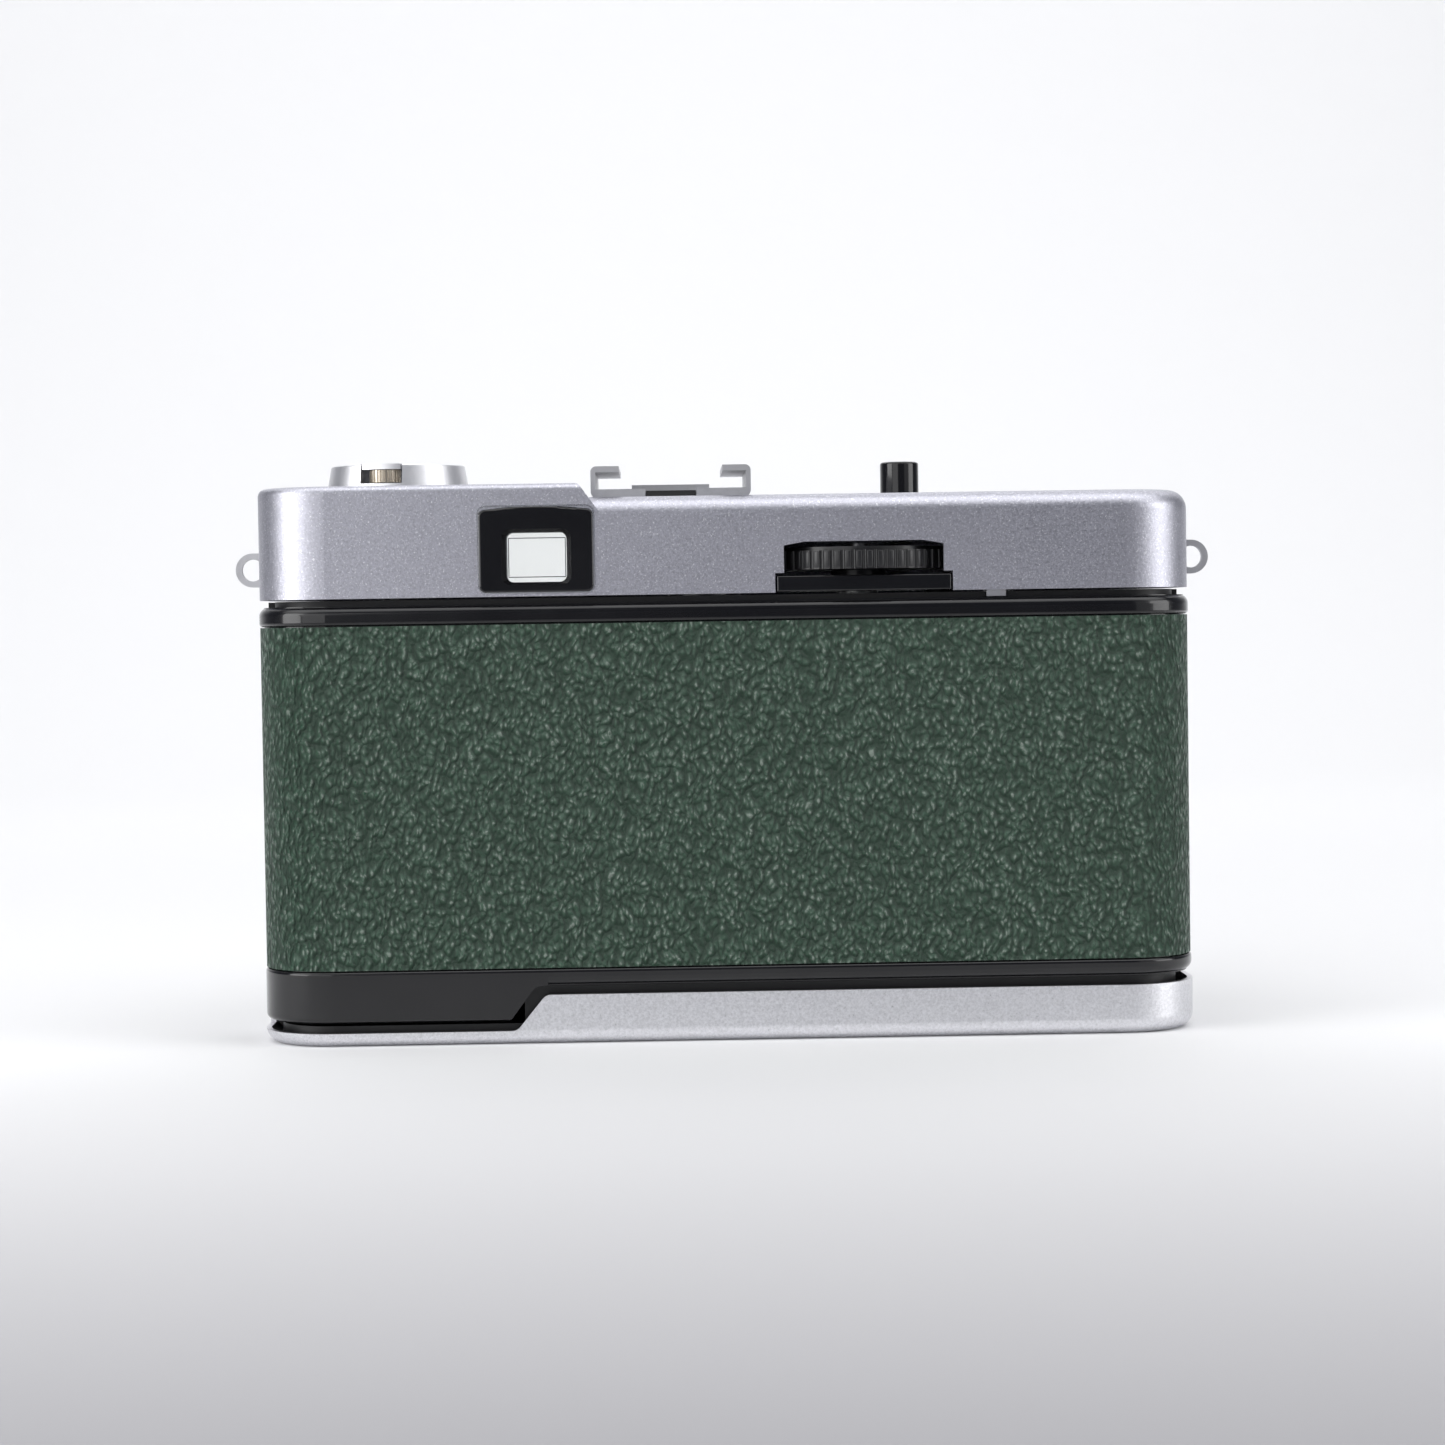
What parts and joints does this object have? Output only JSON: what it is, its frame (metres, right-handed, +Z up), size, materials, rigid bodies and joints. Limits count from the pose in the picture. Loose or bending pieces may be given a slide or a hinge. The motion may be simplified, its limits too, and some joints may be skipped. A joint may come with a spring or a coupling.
{
  "type": "half frame camera",
  "caption": "Compact half frame film camera with a fixed lens, thumb wheel advance, folding rewind crank, hinged back, accessory shoe, strap lugs and tripod socket.",
  "frame": {"origin": "axis of the tripod thread at the base, at the middle of the body's width and depth", "axes": "+Z up through the top cover, -Y forward along the lens axis, +X towards the rewind knob"},
  "size_m": [0.1232, 0.0582, 0.0719],
  "materials": {
    "casting": "satin",
    "leatherette": "matte",
    "satin_chrome": "satin",
    "bright_chrome": "polished",
    "black_gloss": "gloss",
    "steel": "brushed",
    "brass_nickel": "satin",
    "black_matte": "matte",
    "glass": "gloss",
    "dial_white": "satin",
    "meter_cell": "gloss"
  },
  "bodies": {
    "camera_body": {"body_casting": "casting", "front_leatherette": "leatherette", "top_cover": "satin_chrome", "top_cover_screw": "steel", "bottom_cover": "satin_chrome", "bottom_cover_screws": "steel", "tripod_bush": "bright_chrome", "strap_lugs": "bright_chrome", "eyepiece_bezel": "black_gloss", "eyepiece_lens": "glass", "finder_housing": "black_matte", "finder_front_bezel": "black_gloss", "finder_front_window": "glass", "accessory_shoe": "bright_chrome", "shoe_screws": "steel", "shoe_insulator": "black_matte", "shoe_contact": "steel", "gate_plate": "steel", "light_box": "black_matte", "deck_posts": "steel", "counter_bridge": "steel", "counter_window": "glass", "wheel_guard": "black_gloss", "button_collar": "bright_chrome", "button_spring": "steel", "hinge_leaf_body": "steel", "hinge_pin": "steel", "lens_mount": "casting", "shutter_case": "black_matte", "lens_barrel": "black_gloss", "meter_cell": "meter_cell", "meter_window": "glass", "retaining_ring": "black_gloss", "front_element": "glass", "rear_element": "glass", "meter_movement": "steel"},
    "back": {"back_door": "black_gloss", "door_leatherette": "leatherette", "hinge_leaf_door": "steel", "pressure_spring": "steel"},
    "pressure_plate": {"pressure_plate": "steel"},
    "latch": {"door_latch": "black_gloss"},
    "rewind_lifter": {"rewind_collar": "steel"},
    "rewind_knob": {"rewind_knob": "bright_chrome", "rewind_shaft": "steel"},
    "crank": {"crank_lever": "bright_chrome"},
    "crank_grip": {"crank_grip": "brass_nickel"},
    "shutter_button": {"shutter_button": "black_gloss"},
    "advance_wheel": {"advance_wheel": "black_matte"},
    "sprocket": {"sprocket_shaft": "black_matte"},
    "idler": {"idler_gear": "brass_nickel"},
    "spool": {"take_up_spool": "black_matte"},
    "counter_dial": {"counter_dial": "dial_white"},
    "reset_pin": {"counter_reset_pin": "bright_chrome"},
    "rewind_release": {"rewind_release": "casting"},
    "aperture_ring": {"aperture_ring": "bright_chrome"},
    "speed_ring": {"film_speed_ring": "satin_chrome"},
    "blade_a": {"shutter_blade_a": "black_matte"},
    "blade_b": {"shutter_blade_b": "black_matte"},
    "meter_needle": {"meter_needle": "dial_white"}
  },
  "joints": [
    {"name": "back_swing", "type": "hinge", "parent": "camera_body", "child": "back", "pos_m": [-0.0574, 0.002, 0.0306], "axis": [0, 0, 1], "range_deg": [0, 105]},
    {"name": "latch_slide", "type": "slide", "parent": "camera_body", "child": "latch", "axis": [0, 0, -1], "range_m": [0, 0.003], "stiffness_N_per_m": 150, "springref_m": -0.002},
    {"name": "pressure_plate_float", "type": "slide", "parent": "back", "child": "pressure_plate", "axis": [0, 1, 0], "range_m": [0, 0.0005], "stiffness_N_per_m": 400, "springref_m": -0.001},
    {"name": "shutter_press", "type": "slide", "parent": "camera_body", "child": "shutter_button", "axis": [0, 0, -1], "range_m": [0, 0.0018], "stiffness_N_per_m": 300, "springref_m": -0.002, "deforming": ["button_spring"]},
    {"name": "reset_pin_slide", "type": "slide", "parent": "camera_body", "child": "reset_pin", "axis": [0, -1, 0], "range_m": [0, 0.0015], "stiffness_N_per_m": 60, "springref_m": -0.002},
    {"name": "rewind_release_press", "type": "slide", "parent": "camera_body", "child": "rewind_release", "axis": [0, 0, 1], "range_m": [0, 0.0012], "stiffness_N_per_m": 150, "springref_m": -0.002},
    {"name": "rewind_lift", "type": "slide", "parent": "camera_body", "child": "rewind_lifter", "axis": [0, 0, 1], "range_m": [0, 0.006]},
    {"name": "rewind_spin", "type": "hinge", "parent": "rewind_lifter", "child": "rewind_knob", "pos_m": [0.041, 0, 0.06], "axis": [0, 0, 1], "continuous": true},
    {"name": "crank_fold", "type": "hinge", "parent": "rewind_knob", "child": "crank", "pos_m": [0.03999, -0.00571, 0.0711], "axis": [0.9848, -0.1736, 0], "range_deg": [0, 180]},
    {"name": "grip_spin", "type": "hinge", "parent": "crank", "child": "crank_grip", "pos_m": [0.0421, 0.00625, 0.07], "axis": [0, 0, 1], "continuous": true},
    {"name": "wheel_spin", "type": "hinge", "parent": "camera_body", "child": "advance_wheel", "pos_m": [-0.017, 0.0042, 0.0589], "axis": [0, 0, 1], "continuous": true},
    {"name": "sprocket_spin", "type": "hinge", "parent": "camera_body", "child": "sprocket", "pos_m": [-0.027, 0.0042, 0.03], "axis": [0, 0, 1], "continuous": true},
    {"name": "idler_spin", "type": "hinge", "parent": "camera_body", "child": "idler", "pos_m": [-0.035, 0.004, 0.056], "axis": [0, 0, 1], "continuous": true},
    {"name": "spool_spin", "type": "hinge", "parent": "camera_body", "child": "spool", "pos_m": [-0.0425, 0, 0.03], "axis": [0, 0, 1], "continuous": true},
    {"name": "counter_spin", "type": "hinge", "parent": "camera_body", "child": "counter_dial", "pos_m": [-0.041, 0.002, 0.064], "axis": [0, 0, 1], "continuous": true},
    {"name": "aperture_turn", "type": "hinge", "parent": "camera_body", "child": "aperture_ring", "pos_m": [0, -0.0228, 0.03], "axis": [0, -1, 0], "range_deg": [0, 62]},
    {"name": "speed_turn", "type": "hinge", "parent": "camera_body", "child": "speed_ring", "pos_m": [0, -0.0282, 0.03], "axis": [0, -1, 0], "range_deg": [0, 75]},
    {"name": "blade_a_swing", "type": "hinge", "parent": "camera_body", "child": "blade_a", "pos_m": [-0.0126, -0.0114, 0.03], "axis": [0, -1, 0], "range_deg": [0, 52]},
    {"name": "blade_b_swing", "type": "hinge", "parent": "camera_body", "child": "blade_b", "pos_m": [0.0126, -0.0118, 0.03], "axis": [0, -1, 0], "range_deg": [0, 52]},
    {"name": "needle_swing", "type": "hinge", "parent": "camera_body", "child": "meter_needle", "pos_m": [0.0025, 0.001, 0.0616], "axis": [0, 0, 1], "range_deg": [0, 50], "stiffness_Nm_per_rad": 0.00002, "springref_deg": -17.19}
  ],
  "couplings": [
    {"joint": "sprocket_spin", "follows": "wheel_spin", "ratio": -1.5},
    {"joint": "idler_spin", "follows": "wheel_spin", "ratio": 1.5},
    {"joint": "spool_spin", "follows": "wheel_spin", "ratio": -1.3333},
    {"joint": "counter_spin", "follows": "wheel_spin", "ratio": 0.0375},
    {"joint": "blade_b_swing", "follows": "blade_a_swing", "ratio": 1}
  ]
}
